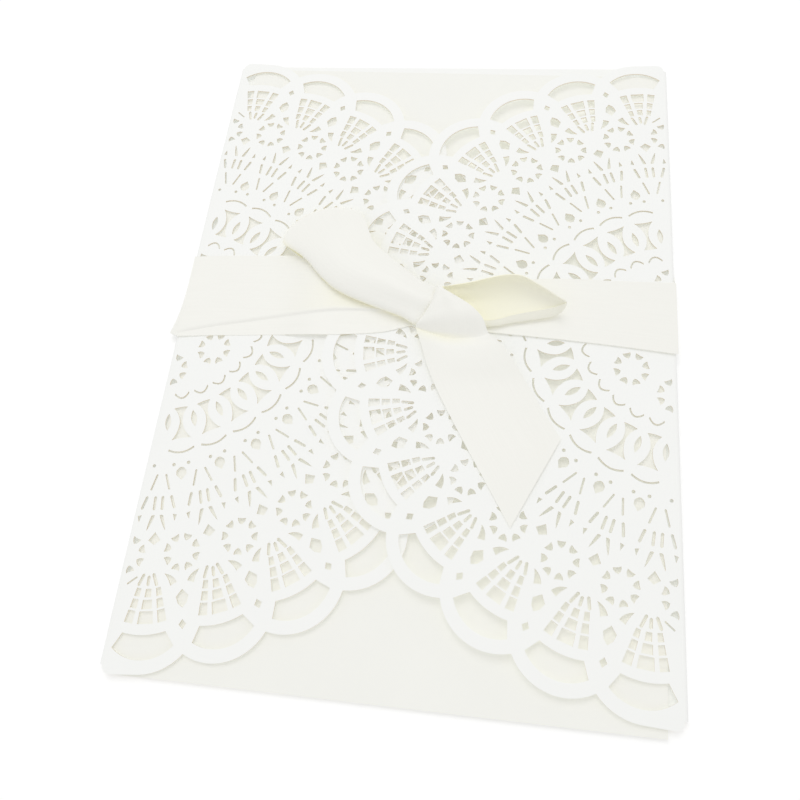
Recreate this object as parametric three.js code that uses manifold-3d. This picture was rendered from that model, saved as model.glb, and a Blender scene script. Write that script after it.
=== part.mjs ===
// Gatefold wedding card, closed and tied with a satin ribbon.
//
// One sheet of card is folded twice into a back panel and two lace-cut flaps. Each flap is half of
// a round doily whose centre lies on its fold. The right flap lies over the left one. A plain insert
// sheet rests on the back panel, a little low and a little turned. A satin ribbon runs round the
// middle of the card and is tied on the front in a bow with two loops and one long tail.
//
// Millimetres, +Z up. The card lies on its back with its height along Y. The origin is on the
// surface that the card lies on, below the middle of the back panel.

import * as THREE from 'three';
import { mergeVertices } from 'three/addons/utils/BufferGeometryUtils.js';
import Module from 'manifold-3d';

const wasm = await Module();
wasm.setup();

// Card sheet
const cardWidth = 130;
const cardHeight = 180;
const cardThickness = 0.4;
const cornerRadius = 2;
const leftLean = THREE.MathUtils.degToRad(0.6);
const clearance = 0.3;
const foldSteps = 5;
const rows = 12;

// Insert sheet
const insertWidth = 124;
const insertHeight = 178;
const insertThickness = 0.4;
const insertTurn = THREE.MathUtils.degToRad(-0.92);
const insertRight = 0.3;
const insertDown = 1.8;

// Ribbon
const ribbonWidth = 22;
const ribbonThickness = 0.4;
const ribbonMiddle = 8;
const wrapSteps = 6;

// Bow, its loops and tail measured from the middle of the knot
const knotRight = 5;
const knotDown = 4;
const knotLength = 15;
const knotWidth = 17;
const knotHeight = 6;
const pinch = 5;
const leftLoopLength = 40;
const leftLoopWidth = 22;
const leftLoopAngle = THREE.MathUtils.degToRad(146);
const leftLoopRise = 5.8;
const rightLoopLength = 32;
const rightLoopWidth = 16;
const rightLoopAngle = THREE.MathUtils.degToRad(4);
const rightLoopRise = 7.4;
const tailLength = 51;
const tailAngle = THREE.MathUtils.degToRad(-59);
const tailWidth = 20;
const tailSlant = 8;
const tailLift = 0.6;

// Lace, drawn for a doily of this radius and enlarged or reduced with the flap
const drawnRadius = 90;
const sectors = 14;
const scallopRadius = 13.4;
const scallopDepth = 3.6;
const scallopSteps = 5;
const scallopRim = 3;
const roundelRing = 63.4;
const roundelPetals = 8;
const petalReach = 4.45;
const petalStart = 2.75;
const petalHalf = 0.95;
const innerRoundelRing = 14.4;
const innerRoundelSector = 4;
const fanRoot = 61.4;
const fanSpread = THREE.MathUtils.degToRad(13);

// Each opening is drawn in mm beside and along its own axis, a radius of the doily
const windowSill = [[-5.2, 80.8], [0, 81.6], [5.2, 80.8]];
const windowHalf = 7.2;
const middleBlade = [[-0.25, 68.9], [0.25, 68.9], [1.55, 79.2], [-1.55, 79.2]];
const sideBlade = [[-0.3, 68.2], [0.3, 68.2], [0.9, 79.6], [-0.9, 79.6]];
const lozenge = [[0, 58.1], [1.6, 60], [0, 61.2], [-1.6, 60]];
const spike = [[0.55, 49.6], [1.3, 49.6], [2.3, 57.3]];
const pentagon = [[0, 72.1], [1.5, 73.4], [1.1, 75.8], [-1.1, 75.8], [-1.5, 73.4]];
const arcSlit = [[-3.1, 37.1], [0, 38], [3.1, 37.1], [3.3, 37.7], [0, 38.7], [-3.3, 37.7]];
const hourglass = [[-1.75, 26.5], [1.75, 26.5], [0.4, 30], [2.3, 34.5], [-2.3, 34.5], [-0.4, 30]];

// Heights and bends that follow from the sizes
const halfWidth = cardWidth / 2;
const halfHeight = cardHeight / 2;
const ribbonRise = ribbonThickness + clearance;
const panelMiddle = ribbonRise + cardThickness / 2;
const foldRadius = (cardThickness + insertThickness) / 2 + clearance;
const foldOverhang = foldRadius + cardThickness / 2;
const foldStart = halfWidth - foldOverhang;
const flapRadius = halfHeight;
const laceScale = flapRadius / drawnRadius;
const flapPitch = Math.PI / sectors;
const leftTipRise = flapRadius * Math.tan(leftLean);
const rightLean = Math.atan((leftTipRise + cardThickness + 1.2 * clearance) / (cardWidth - flapRadius));
const foldMiddle = panelMiddle + foldRadius;
const flapAtFold = panelMiddle + 2 * foldRadius;

function leanOf(side) {
  return side > 0 ? rightLean : leftLean;
}

function flapStart(side) {
  return foldStart + foldRadius * (Math.PI - leanOf(side));
}

// The sheets lie over the ribbon and sag on both sides of it, down to the surface at the card's ends
function sag(y) {
  const flat = ribbonWidth / 2 + clearance;
  const reach = Math.abs(y - ribbonMiddle) - flat;
  const span = halfHeight - Math.sign(y - ribbonMiddle) * ribbonMiddle - flat;
  const share = THREE.MathUtils.clamp(reach / span, 0, 1);
  return ribbonRise * share * share;
}

// A point of the flat blank, s across and y up, at n from the sheet's middle, on the folded card
function fold(s, y, n) {
  const side = s < 0 ? -1 : 1;
  const reach = Math.abs(s);
  if (reach <= foldStart) {
    return new THREE.Vector3(s, y, panelMiddle + n - sag(y));
  }
  const sweep = Math.PI - leanOf(side);
  const turned = Math.min((reach - foldStart) / foldRadius, sweep);
  const along = Math.max(reach - flapStart(side), 0);
  const x = foldStart + (foldRadius - n) * Math.sin(turned) + along * Math.cos(turned);
  const z = foldMiddle - (foldRadius - n) * Math.cos(turned) + along * Math.sin(turned);
  return new THREE.Vector3(side * x, y, z - sag(y));
}

// Height of the front of a flap above the surface where the ribbon passes, at x
function flapFront(side, x) {
  const along = foldStart - side * x;
  return flapAtFold + along * Math.tan(leanOf(side)) + cardThickness / 2 / Math.cos(leanOf(side));
}

// A point of the doily, beside and along the radius at the given sector, in the flap's own plane
function lacePoint(sector, beside, along) {
  const turn = sector * flapPitch;
  const d = along * Math.sin(turn) + beside * Math.cos(turn);
  const y = beside * Math.sin(turn) - along * Math.cos(turn);
  return new THREE.Vector2(d * laceScale - foldOverhang, y * laceScale);
}

function opening(sector, outline, mirrored = 1) {
  return outline.map(([beside, along]) => lacePoint(sector, mirrored * beside, along));
}

function swung(outline, angle, pivot) {
  return outline.map(([beside, along]) => {
    const reach = along - pivot;
    const across = beside * Math.cos(angle) + reach * Math.sin(angle);
    return [across, pivot + reach * Math.cos(angle) - beside * Math.sin(angle)];
  });
}

// The round edge of a scallop, or of the window inside it, beside and along its axis
function scallopEdge(radius, half, steps) {
  const centre = drawnRadius - scallopRadius;
  const end = Math.asin(half / radius);
  const points = [];
  for (let i = 0; i <= steps; i += 1) {
    const turn = end * (1 - 2 * i / steps);
    points.push([radius * Math.sin(turn), centre + radius * Math.cos(turn)]);
  }
  return points;
}

function roundel(sector, ring, isHalf) {
  const holes = [];
  for (let i = 0; i < roundelPetals; i += 1) {
    const turn = (i + 0.5) / roundelPetals * 2 * Math.PI;
    const corners = [[-petalHalf, petalReach], [petalHalf, petalReach], [0, petalStart]];
    const side = sector < sectors / 2 ? 1 : -1;
    const isOff = isHalf && side * Math.sin(turn) < 0;
    if (!isOff) {
      holes.push(opening(sector, corners.map(([across, out]) => [
        across * Math.cos(turn) + out * Math.sin(turn),
        ring + out * Math.cos(turn) - across * Math.sin(turn),
      ])));
    }
  }
  return holes;
}

function fanOpenings(sector) {
  const window = [...scallopEdge(scallopRadius - scallopRim, windowHalf, scallopSteps - 1), ...windowSill];
  return [
    opening(sector, window),
    opening(sector, middleBlade),
    opening(sector, swung(sideBlade, fanSpread, fanRoot)),
    opening(sector, swung(sideBlade, -fanSpread, fanRoot)),
    opening(sector, lozenge),
    opening(sector, spike),
    opening(sector, spike, -1),
  ];
}

function axisOpenings(sector) {
  return [
    ...roundel(sector, roundelRing, false),
    opening(sector, pentagon),
    opening(sector, arcSlit),
    opening(sector, hourglass),
  ];
}

function laceOpenings() {
  const holes = [];
  for (let k = 0; k < sectors; k += 1) {
    holes.push(...fanOpenings(k + 0.5));
  }
  for (let k = 1; k < sectors; k += 1) {
    holes.push(...axisOpenings(k));
  }
  holes.push(...roundel(0, roundelRing, true));
  holes.push(...roundel(sectors, roundelRing, true));
  holes.push(...roundel(innerRoundelSector, innerRoundelRing, false));
  holes.push(...roundel(sectors - innerRoundelSector, innerRoundelRing, false));
  return holes;
}

function cornerArc(cx, cy, from, to) {
  const points = [];
  const steps = 4;
  for (let i = 0; i <= steps; i += 1) {
    const turn = from + (to - from) * i / steps;
    points.push(new THREE.Vector2(cx + cornerRadius * Math.cos(turn), cy + cornerRadius * Math.sin(turn)));
  }
  return points;
}

// Edge of a flap from its lower corner to its upper one
function flapOutline() {
  const chord = scallopEdge(scallopRadius, halfScallop(), scallopSteps).reverse();
  const edge = [];
  for (let k = 0; k < sectors; k += 1) {
    const tip = Math.ceil(scallopSteps / 2);
    const from = k === 0 ? tip : 1;
    const to = k === sectors - 1 ? tip : chord.length;
    edge.push(...opening(k + 0.5, chord).slice(from, to));
  }
  const low = cornerArc(cornerRadius, cornerRadius - halfHeight, Math.PI, 1.5 * Math.PI);
  const high = cornerArc(cornerRadius, halfHeight - cornerRadius, 0.5 * Math.PI, Math.PI);
  return [...low, ...edge, ...high, ...foldLine()];
}

// Heights of the rows that the sheet is divided in, between the rounded corners
function rowLines() {
  const end = halfHeight - cornerRadius;
  return Array.from({ length: rows + 1 }, (_, i) => end * (2 * i / rows - 1));
}

// The flap's edge at its fold, downwards, bowed by a hair so that no three points are in line
function foldLine() {
  const hair = 1e-6;
  return rowLines().slice(1, -1).reverse().map((y) => {
    return new THREE.Vector2(hair * (y * y / (halfHeight * halfHeight) - 1), y);
  });
}

// Half the chord of a scallop, between its two cusps
function halfScallop() {
  return (drawnRadius - scallopDepth) * Math.sin(flapPitch / 2);
}

// The two ends of the back panel, past the first and the last row line
function panelEnds() {
  const x = foldStart - cornerRadius;
  const y = halfHeight - cornerRadius;
  const low = [...cornerArc(-x, -y, Math.PI, 1.5 * Math.PI), ...cornerArc(x, -y, 1.5 * Math.PI, 2 * Math.PI)];
  const high = [...cornerArc(x, y, 0, 0.5 * Math.PI), ...cornerArc(-x, y, 0.5 * Math.PI, Math.PI)];
  return [low, high];
}

// The flat blank as a list of triangles of [s, y] points, counter-clockwise
function blankTriangles() {
  const triangles = [];
  const cover = (contour, holes, toBlank) => {
    const all = [contour, ...holes].flat();
    for (const face of THREE.ShapeUtils.triangulateShape(contour, holes)) {
      const corners = face.map((i) => toBlank(all[i]));
      const [a, b, c] = corners;
      const turn = (b[0] - a[0]) * (c[1] - a[1]) - (b[1] - a[1]) * (c[0] - a[0]);
      triangles.push(turn > 0 ? corners : [a, c, b]);
    }
  };
  const lines = rowLines();
  const strip = (from, to, toBlank) => {
    for (let i = 0; i < rows; i += 1) {
      const [low, high] = [lines[i], lines[i + 1]];
      const corners = [[from, low], [to, low], [to, high], [from, high]];
      cover(corners.map(([s, y]) => new THREE.Vector2(s, y)), [], toBlank);
    }
  };
  strip(-foldStart, foldStart, (p) => [p.x, p.y]);
  panelEnds().forEach((end) => cover(end, [], (p) => [p.x, p.y]));
  for (const side of [1, -1]) {
    const start = flapStart(side);
    for (let i = 0; i < foldSteps; i += 1) {
      const from = THREE.MathUtils.lerp(foldStart, start, i / foldSteps);
      const to = THREE.MathUtils.lerp(foldStart, start, (i + 1) / foldSteps);
      strip(from, to, (p) => [side * p.x, p.y]);
    }
    cover(flapOutline(), laceOpenings(), (p) => [side * (start + p.x), p.y]);
  }
  return triangles;
}

// A closed sheet over the given blank triangles
function sheetGeometry(triangles, thickness, place) {
  const points = [];
  const index = new Map();
  const number = ([s, y]) => {
    const key = `${s.toFixed(5)},${y.toFixed(5)}`;
    if (!index.has(key)) {
      index.set(key, points.length);
      points.push([s, y]);
    }
    return index.get(key);
  };
  const faces = triangles.map((corners) => corners.map(number));
  const edges = new Map();
  for (const [a, b, c] of faces) {
    for (const [p, q] of [[a, b], [b, c], [c, a]]) {
      edges.set(`${p},${q}`, [p, q]);
    }
  }
  const count = points.length;
  const position = [];
  for (const level of [thickness / 2, -thickness / 2]) {
    for (const [s, y] of points) {
      position.push(...place(s, y, level).toArray());
    }
  }
  const order = [];
  for (const [a, b, c] of faces) {
    order.push(a, b, c, a + count, c + count, b + count);
  }
  for (const [p, q] of edges.values()) {
    if (!edges.has(`${q},${p}`)) {
      order.push(p, p + count, q + count, p, q + count, q);
    }
  }
  const geometry = new THREE.BufferGeometry();
  geometry.setAttribute('position', new THREE.Float32BufferAttribute(position, 3));
  geometry.setIndex(order);
  return geometry;
}

function cardGeometry() {
  return sheetGeometry(blankTriangles(), cardThickness, fold);
}

function insertGeometry() {
  const geometry = new THREE.BoxGeometry(insertWidth, insertHeight, insertThickness, 1, rows, 1);
  const middle = panelMiddle + cardThickness / 2 + clearance + insertThickness / 2;
  geometry.rotateZ(insertTurn);
  geometry.translate(insertRight, -insertDown, middle);
  const { position } = geometry.attributes;
  for (let i = 0; i < position.count; i += 1) {
    position.setZ(i, position.getZ(i) - sag(position.getY(i)));
  }
  return geometry;
}

// A strip of ribbon through stations {at, across}
function stripGeometry(stations, isClosed) {
  const position = [];
  const count = stations.length;
  stations.forEach(({ at, across }, i) => {
    const before = stations[isClosed ? (i + count - 1) % count : Math.max(i - 1, 0)].at;
    const after = stations[isClosed ? (i + 1) % count : Math.min(i + 1, count - 1)].at;
    const way = after.clone().sub(before).normalize();
    const up = across.clone().cross(way).normalize().multiplyScalar(ribbonThickness / 2);
    for (const [side, level] of [[-1, -1], [1, -1], [1, 1], [-1, 1]]) {
      const corner = at.clone().addScaledVector(across, side).addScaledVector(up, level);
      position.push(...corner.toArray());
    }
  });
  const order = [];
  const last = isClosed ? count : count - 1;
  for (let i = 0; i < last; i += 1) {
    const a = i * 4;
    const b = ((i + 1) % count) * 4;
    for (let j = 0; j < 4; j += 1) {
      const k = (j + 1) % 4;
      order.push(a + j, b + j, b + k, a + j, b + k, a + k);
    }
  }
  if (!isClosed) {
    const end = (count - 1) * 4;
    order.push(0, 1, 2, 0, 2, 3, end, end + 2, end + 1, end, end + 3, end + 2);
  }
  const geometry = new THREE.BufferGeometry();
  geometry.setAttribute('position', new THREE.Float32BufferAttribute(position, 3));
  geometry.setIndex(order);
  return geometry;
}

const ribbonOff = clearance + ribbonThickness / 2;

// Middle of the ribbon's thickness on the front of the card at x
function bandHeight(x) {
  const peak = flapRadius - halfWidth;
  const high = flapFront(1, -peak) + ribbonOff;
  const low = foldMiddle + foldRadius + cardThickness / 2 + ribbonOff;
  if (x >= -peak) {
    return flapFront(1, x) + ribbonOff;
  }
  return THREE.MathUtils.mapLinear(x, -foldStart, -peak, low, high);
}

function bandGeometry() {
  const wrapRadius = foldRadius + cardThickness / 2 + ribbonOff;
  const peak = flapRadius - halfWidth;
  const path = [new THREE.Vector3(0, ribbonMiddle, ribbonThickness / 2)];
  for (let i = 0; i <= wrapSteps; i += 1) {
    const turn = Math.PI * i / wrapSteps;
    const x = foldStart + wrapRadius * Math.sin(turn);
    path.push(new THREE.Vector3(x, ribbonMiddle, foldMiddle - wrapRadius * Math.cos(turn)));
  }
  for (const x of [halfWidth / 2, 0, -peak]) {
    path.push(new THREE.Vector3(x, ribbonMiddle, bandHeight(x)));
  }
  for (let i = wrapSteps; i >= 0; i -= 1) {
    const turn = Math.PI * i / wrapSteps;
    const x = -foldStart - wrapRadius * Math.sin(turn);
    path.push(new THREE.Vector3(x, ribbonMiddle, foldMiddle - wrapRadius * Math.cos(turn)));
  }
  const across = new THREE.Vector3(0, ribbonWidth / 2, 0);
  return stripGeometry(path.map((at) => ({ at, across })), true);
}

const knotAt = new THREE.Vector3(knotRight, ribbonMiddle - knotDown, bandHeight(knotRight));

// A loop of the bow: out from the knot along its top and back along its underside
function loopGeometry(length, width, angle, rise) {
  const out = new THREE.Vector3(Math.cos(angle), Math.sin(angle), 0);
  const side = new THREE.Vector3(-Math.sin(angle), Math.cos(angle), 0);
  const rest = knotAt.z + ribbonThickness + clearance;
  const route = [
    [0, 1.6], [0.2, 0.35 * rise + 1.6], [0.45, 0.8 * rise + 1], [0.7, rise], [0.88, 0.95 * rise],
    [0.98, 0.72 * rise], [1, 0.45 * rise], [0.96, 0.2 * rise], [0.82, 0.6], [0.5, 0.6], [0.2, 0.6], [0, 0.6],
  ];
  const stations = route.map(([share, lift]) => {
    const reach = length * share;
    const spread = THREE.MathUtils.smoothstep(share, 0, 0.45);
    const half = THREE.MathUtils.lerp(pinch, width / 2, spread);
    const at = knotAt.clone().addScaledVector(out, reach);
    at.z = rest + lift;
    return { at, across: side.clone().multiplyScalar(half) };
  });
  return stripGeometry(stations, false);
}

function tailGeometry() {
  const out = new THREE.Vector3(Math.cos(tailAngle), Math.sin(tailAngle), 0);
  const side = new THREE.Vector3(-Math.sin(tailAngle), Math.cos(tailAngle), 0);
  const shares = [0, 0.12, 0.25, 0.5, 0.75, 1];
  const stations = shares.map((share) => {
    const spread = THREE.MathUtils.smoothstep(share, 0, 0.3);
    const half = THREE.MathUtils.lerp(pinch, tailWidth / 2, spread);
    const at = knotAt.clone().addScaledVector(out, tailLength * share);
    const edges = [1, -1].map((way) => at.clone().addScaledVector(side, way * half));
    const floor = Math.max(...edges.map(({ x, y }) => flapFront(1, x) - sag(y))) + ribbonOff + tailLift;
    at.z = floor + (knotHeight / 2) * (1 - spread);
    return { at, across: side.clone().multiplyScalar(half) };
  });
  stations.at(-1).across.addScaledVector(out, -tailSlant);
  return stripGeometry(stations, false);
}

function knotGeometry() {
  const geometry = new THREE.SphereGeometry(1, 16, 10);
  geometry.scale(knotWidth / 2, knotLength / 2, knotHeight / 2);
  geometry.translate(knotAt.x, knotAt.y, knotAt.z + (knotHeight - ribbonThickness) / 2);
  return geometry;
}

function solidOf(geometry) {
  geometry.deleteAttribute('normal');
  geometry.deleteAttribute('uv');
  const merged = mergeVertices(geometry, 1e-4);
  return new wasm.Manifold(new wasm.Mesh({
    numProp: 3,
    vertProperties: new Float32Array(merged.attributes.position.array),
    triVerts: new Uint32Array(merged.index.array),
  }));
}

function geometryOf(solid) {
  const mesh = solid.getMesh();
  const geometry = new THREE.BufferGeometry();
  geometry.setAttribute('position', new THREE.Float32BufferAttribute(mesh.vertProperties, 3));
  geometry.setIndex(Array.from(mesh.triVerts));
  return geometry;
}

function ribbonGeometry() {
  const pieces = [
    bandGeometry(),
    loopGeometry(leftLoopLength, leftLoopWidth, leftLoopAngle, leftLoopRise),
    loopGeometry(rightLoopLength, rightLoopWidth, rightLoopAngle, rightLoopRise),
    tailGeometry(),
    knotGeometry(),
  ];
  return geometryOf(pieces.map(solidOf).reduce((whole, piece) => whole.add(piece)));
}

function named(name, geometry, color, roughness) {
  geometry.computeVertexNormals();
  const material = new THREE.MeshStandardMaterial({ color, roughness, metalness: 0 });
  const mesh = new THREE.Mesh(geometry, material);
  mesh.name = name;
  return mesh;
}

const card = new THREE.Group();
card.add(named('gatefold_card', cardGeometry(), 0xf6f6f4, 0.8));
card.add(named('insert_sheet', insertGeometry(), 0xf3f1ea, 0.75));
card.add(named('ribbon', ribbonGeometry(), 0xf5f2e4, 0.4));

export default card;
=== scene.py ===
"""A closed gatefold wedding card: its lace, its ribbon and bow, their finishes, the camera and the light.

Sizes are in millimetres in the classes, and meshes are made in metres.
"""
import sys
import logging
import math
from abc import ABC, abstractmethod
from collections.abc import Callable, Sequence
from dataclasses import dataclass, field
from enum import Enum

import bmesh
import bpy
from mathutils import Matrix, Vector


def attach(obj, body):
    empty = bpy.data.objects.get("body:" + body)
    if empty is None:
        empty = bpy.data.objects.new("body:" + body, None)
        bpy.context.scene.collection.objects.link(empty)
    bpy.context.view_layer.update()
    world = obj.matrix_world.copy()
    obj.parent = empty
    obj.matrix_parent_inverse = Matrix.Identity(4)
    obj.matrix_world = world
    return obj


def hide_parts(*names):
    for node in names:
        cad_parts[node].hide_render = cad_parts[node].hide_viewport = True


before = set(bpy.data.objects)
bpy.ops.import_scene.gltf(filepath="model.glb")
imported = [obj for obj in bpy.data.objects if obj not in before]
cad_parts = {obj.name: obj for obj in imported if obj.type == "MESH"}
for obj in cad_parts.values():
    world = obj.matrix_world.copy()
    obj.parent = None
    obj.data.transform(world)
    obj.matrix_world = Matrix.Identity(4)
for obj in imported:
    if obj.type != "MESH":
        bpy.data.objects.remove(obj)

LOG = logging.getLogger("wedding_card")
MM = 0.001
RIBBON_WIDTH = 22.0
CAMERA_PLACE = (24.93, -83.39, 170.83)
WHITE = (1.0, 1.0, 1.0, 1.0)
WELD = 1e-4
ARC_STEP = 0.55
DOT_CORNERS = 8
SHARP_CUT = math.radians(35)
SHARP_FOLD = math.radians(60)

Point = tuple[float, float]
Place = tuple[float, float, float]
Colour = tuple[float, float, float]
Loop = list[Point]
Section = tuple[Vector, Vector, Vector, Vector]


class Node(Enum):
    """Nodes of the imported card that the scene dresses."""

    CARD = "gatefold_card"
    INSERT = "insert_sheet"
    RIBBON = "ribbon"


class Slot(Enum):
    """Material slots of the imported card."""

    CARD = "card"
    INSERT = "insert"
    SATIN = "satin"


def smooth_share(value: float, low: float, high: float) -> float:
    """Eased share of the way from low to high, held at 0 and 1 outside them."""
    share = min(max((value - low) / (high - low), 0.0), 1.0)
    return share * share * (3 - 2 * share)


def added(name: str, data: bpy.types.ID) -> bpy.types.Object:
    """A new object with the given data, linked to the scene."""
    made = bpy.data.objects.new(name, data)
    bpy.context.scene.collection.objects.link(made)
    return made


# Node graphs


class Signal:
    """An output socket with arithmetic, each operation of which adds a Math node."""

    def __init__(self, graph: "Graph", socket: bpy.types.NodeSocket | None) -> None:
        """Keeps the socket and the graph that it belongs to."""
        self.graph = graph
        self.socket = socket

    def _math(self, operation: str, first: "Signal | float", second: "Signal | float") -> "Signal":
        """Adds a Math node.

        Args:
            operation: the Math node's operation.
            first: its first value or link.
            second: its second value or link.

        Returns:
            The node's result.
        """
        return self.graph.node("ShaderNodeMath", {"operation": operation}, {0: first, 1: second})

    def __add__(self, other: "Signal | float") -> "Signal":
        """Sum."""
        return self._math("ADD", self, other)

    __radd__ = __add__

    def __mul__(self, other: "Signal | float") -> "Signal":
        """Product."""
        return self._math("MULTIPLY", self, other)

    __rmul__ = __mul__

    def __sub__(self, other: "Signal | float") -> "Signal":
        """Difference."""
        return self._math("SUBTRACT", self, other)

    def __rsub__(self, other: float) -> "Signal":
        """Difference from a number."""
        return self._math("SUBTRACT", other, self)

    def sine(self) -> "Signal":
        """Sine of the value in radians."""
        return self._math("SINE", self, 0.0)

    def size(self) -> "Signal":
        """The value without its sign."""
        return self._math("ABSOLUTE", self, 0.0)

    def sibling(self, name: str) -> "Signal":
        """Another output of the same node."""
        return Signal(self.graph, self.socket.node.outputs[name])


class Graph:
    """A node tree, with one method for every kind of node and a few for what comes up often."""

    def __init__(self, tree: bpy.types.NodeTree) -> None:
        """Empties the tree and keeps it."""
        self.tree = tree
        tree.nodes.clear()

    def node(
        self, kind: str, settings: dict | None = None, inputs: dict | None = None, output: int | str = 0
    ) -> Signal:
        """Adds a node.

        Args:
            kind: the node's type.
            settings: its properties, set before its inputs.
            inputs: values or links by the input's name or number.
            output: the output to return, by name or number.

        Returns:
            The chosen output.
        """
        made = self.tree.nodes.new(kind)
        for key, value in (settings or {}).items():
            setattr(made, key, value)
        for key, value in (inputs or {}).items():
            if isinstance(value, Signal):
                self.tree.links.new(value.socket, made.inputs[key])
            else:
                made.inputs[key].default_value = value
        return Signal(self, made.outputs[output] if len(made.outputs) else None)

    def noise(self, place: Signal, scale: float, detail: float, rough: float, warp: float = 0.0) -> Signal:
        """A noise texture at a place."""
        values = {"Vector": place, "Scale": scale, "Detail": detail, "Roughness": rough, "Distortion": warp}
        return self.node("ShaderNodeTexNoise", {}, values)

    def grey(self, value: Signal) -> Signal:
        """A colour with the same value in its three channels."""
        return self.node("ShaderNodeCombineColor", {}, {0: value, 1: value, 2: value})

    def blend(
        self, kind: str, factor: "Signal | float", first: "Signal | Colour", second: "Signal | Colour"
    ) -> Signal:
        """Blends two colours.

        Args:
            kind: how they are blended.
            factor: share of the second one.
            first: the first colour.
            second: the second colour.

        Returns:
            The blended colour.
        """
        low, high = (end if isinstance(end, Signal) else (*end, 1.0) for end in (first, second))
        settings = {"data_type": "RGBA", "blend_type": kind}
        return self.node("ShaderNodeMix", settings, {"Factor": factor, 6: low, 7: high}, output=2)


# Finishes


class Finish(ABC):
    """A named look, made with one principled surface."""

    name: str

    @abstractmethod
    def inputs(self, graph: Graph) -> dict:
        """Adds the nodes behind the surface and returns its inputs by their names."""

    def material(self) -> bpy.types.Material:
        """The finished material."""
        made = bpy.data.materials.new(self.name)
        made.use_nodes = True
        graph = Graph(made.node_tree)
        surface = graph.node("ShaderNodeBsdfPrincipled", {}, self.inputs(graph))
        graph.node("ShaderNodeOutputMaterial", {}, {"Surface": surface})
        return made


@dataclass(frozen=True)
class CardStock(Finish):
    """Matt card or paper: a faint fibre relief, faint mottling, and cut edges tinted by laser scorch and
    painted shade.

    The small glow stands for the light that comes through the sheet.
    """

    name: str
    colour: Colour
    # cut-edge colour: the laser's real scorch, made darker as painted shade of the shadowed walls
    scorch_and_shade_colour: Colour
    roughness: float = 0.72
    roughness_range: float = 0.12
    mottle: float = 0.02
    mottle_per_m: float = 60.0
    fibre_per_mm: float = 2.2
    glow: float = 0.09
    fibre_relief_mm: float = 0.012

    def inputs(self, graph: Graph) -> dict:
        """Mottled colour, and fibres in the relief and the roughness."""
        place = graph.node("ShaderNodeTexCoord", output="Object")
        cloud = graph.noise(place, self.mottle_per_m, 3.0, 0.6)
        fibre = graph.noise(place, self.fibre_per_mm / MM, 2.0, 0.55, 0.6)
        cut = graph.node("ShaderNodeAttribute", {"attribute_name": "cut"}, output="Fac")
        toned = graph.blend("MULTIPLY", 1.0, self.colour, graph.grey(1 - cloud * self.mottle))
        # cut faces get the scorch colour, which also paints in the shade that falls on the walls
        colour = graph.blend("MIX", cut, toned, self.scorch_and_shade_colour)
        relief = {"Strength": 0.35, "Distance": self.fibre_relief_mm * MM, "Height": fibre}
        return {
            "Base Color": colour,
            "Roughness": fibre * self.roughness_range + (self.roughness - self.roughness_range / 2),
            "Specular IOR Level": 0.3,
            "Emission Color": colour,
            "Emission Strength": self.glow,
            "Normal": graph.node("ShaderNodeBump", {}, relief),
        }


@dataclass(frozen=True)
class SatinWeave(Finish):
    """Ribbon satin: fine warp floats along its length, a soft gloss, and a woven edge on both sides.

    Its map runs across the ribbon in U and along it in V, in metres.
    """

    name: str
    colour: Colour
    # colour of the painted yellowish shade inside the loops, under them and in the creases
    painted_shade_colour: Colour
    width_mm: float = RIBBON_WIDTH
    warps_per_mm: float = 5.0
    wefts_per_mm: float = 3.2
    relief_mm: float = 0.02
    edge_mm: float = 0.7
    streaks_per_m: Point = (2500.0, 60.0)
    streak_shade: float = 0.04
    roughness: float = 0.36
    roughness_range: float = 0.1
    # painted light: a small glow that lifts the satin's shade, standing for light through the fabric
    glow: float = 0.07

    def inputs(self, graph: Graph) -> dict:
        """Weave, streaks and woven edges in the relief, painted yellowish shade in the loops and folds, and a
        painted glow.
        """
        across = graph.node(
            "ShaderNodeSeparateXYZ", {}, {"Vector": graph.node("ShaderNodeUVMap", {"uv_map": "ribbon"})}
        )
        along = across.sibling("Y")
        warp = (across * (2 * math.pi * self.warps_per_mm / MM)).sine()
        weft = (along * (2 * math.pi * self.wefts_per_mm / MM)).sine()
        stretch = {0: across * self.streaks_per_m[0], 1: along * self.streaks_per_m[1]}
        streak = graph.noise(graph.node("ShaderNodeCombineXYZ", {}, stretch), 1.0, 2.0, 0.6)
        rim = graph.node(
            "ShaderNodeMapRange",
            {"interpolation_type": "SMOOTHSTEP"},
            {
                "Value": (across - self.width_mm * MM / 2).size(),
                "From Min": (self.width_mm / 2 - self.edge_mm) * MM,
                "From Max": (self.width_mm / 2 - self.edge_mm * 0.4) * MM,
            },
        )
        # painted shade: a yellowish tint where the satin lies in shade inside its loops, under them and in
        # creases
        painted_shade = graph.node("ShaderNodeAttribute", {"attribute_name": "painted_shade"}, output="Fac")
        toned = graph.blend("MULTIPLY", 1.0, self.colour, graph.grey(1 - streak * self.streak_shade))
        colour = graph.blend("MIX", painted_shade, toned, self.painted_shade_colour)
        height = warp * 0.5 + weft * 0.25 + streak * 0.6 + rim * 1.2
        relief = {"Strength": 0.3, "Distance": self.relief_mm * MM, "Height": height}
        return {
            "Base Color": colour,
            "Roughness": streak * self.roughness_range + self.roughness,
            "Specular IOR Level": 0.45,
            "Anisotropic": 0.4,
            "Sheen Weight": 0.15,
            "Sheen Roughness": 0.4,
            # painted light: the satin glows a little to lift its shade
            "Emission Color": colour,
            "Emission Strength": self.glow,
            "Normal": graph.node("ShaderNodeBump", {}, relief),
        }


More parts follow.
